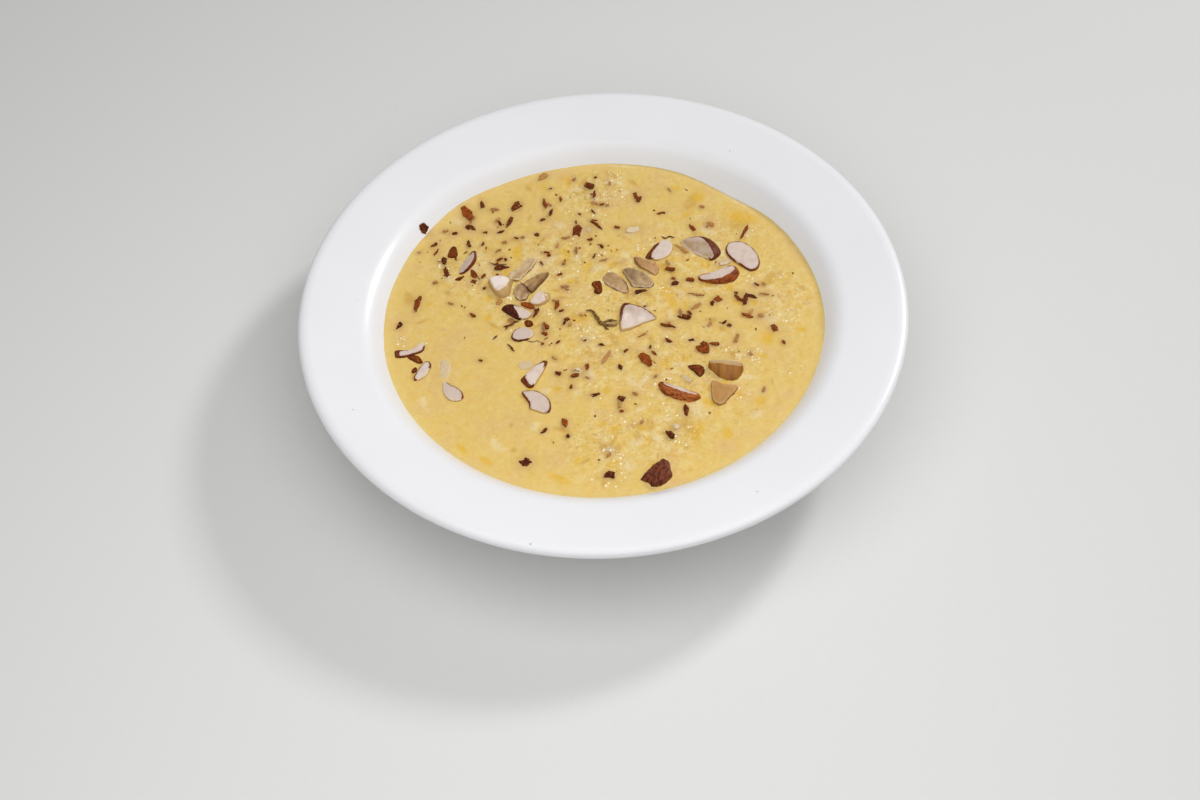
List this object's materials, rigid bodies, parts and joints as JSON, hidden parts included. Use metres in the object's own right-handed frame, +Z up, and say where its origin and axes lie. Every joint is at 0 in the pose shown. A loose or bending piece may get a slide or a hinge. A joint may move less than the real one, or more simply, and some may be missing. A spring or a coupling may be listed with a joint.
{
  "type": "saffron rice pudding in a bowl",
  "caption": "Thick saffron rice pudding with chopped almonds, filling the well of a round white wide-rimmed bowl on a foot ring.",
  "frame": {"origin": "centre of the foot ring on the surface that the bowl stands on", "axes": "+Z up along the bowl's axis, +X to the right and -Y towards the viewer, as in a view from the front"},
  "size_m": [0.23, 0.23, 0.04],
  "materials": {
    "white_porcelain": "smooth clear glaze over white porcelain, glossy, with a few tiny grey pinholes",
    "saffron_cream": "thick cooked milk with rice, pale saffron yellow with deeper yellow grains, moist half gloss",
    "almond_kernel": "cut almond, ivory white with a thin dark brown rim of skin, satin",
    "almond_skin": "ribbed dark red-brown almond skin, moist satin, ivory white where cut",
    "soaked_nut": "soaked peeled almond, greyish tan and slightly see-through, moist",
    "golden_nut": "golden brown soaked nut with fine ribs, moist",
    "cardamom_husk": "dark olive fibrous husk, matt"
  },
  "bodies": {
    "root": {"bowl": "white_porcelain", "rice_pudding": "saffron_cream", "cardamom_husk": "cardamom_husk", "almond_oval_right": "almond_kernel", "almond_thick_back": "almond_kernel", "almond_end_back": "almond_kernel", "almond_wedge": "almond_kernel", "almond_teardrop": "almond_kernel", "almond_pointed": "almond_kernel", "almond_left": "almond_kernel", "almond_narrow_left": "almond_kernel", "almond_sliver_left": "almond_kernel", "almond_slanted_back": "almond_kernel", "almond_white_chunk": "almond_kernel", "almond_small_middle": "almond_kernel", "almond_oval_middle": "almond_kernel", "almond_crescent": "almond_skin", "almond_sliver": "almond_skin", "almond_skin_up": "almond_skin", "almond_dark_middle": "almond_skin", "soaked_flake_tan": "soaked_nut", "soaked_flake_wide": "soaked_nut", "soaked_flake_small": "soaked_nut", "curled_flake": "soaked_nut", "leaf_flake": "soaked_nut", "folded_flake": "soaked_nut", "golden_nut_ribbed": "golden_nut", "golden_nut_flat": "golden_nut"}
  },
  "joints": []
}
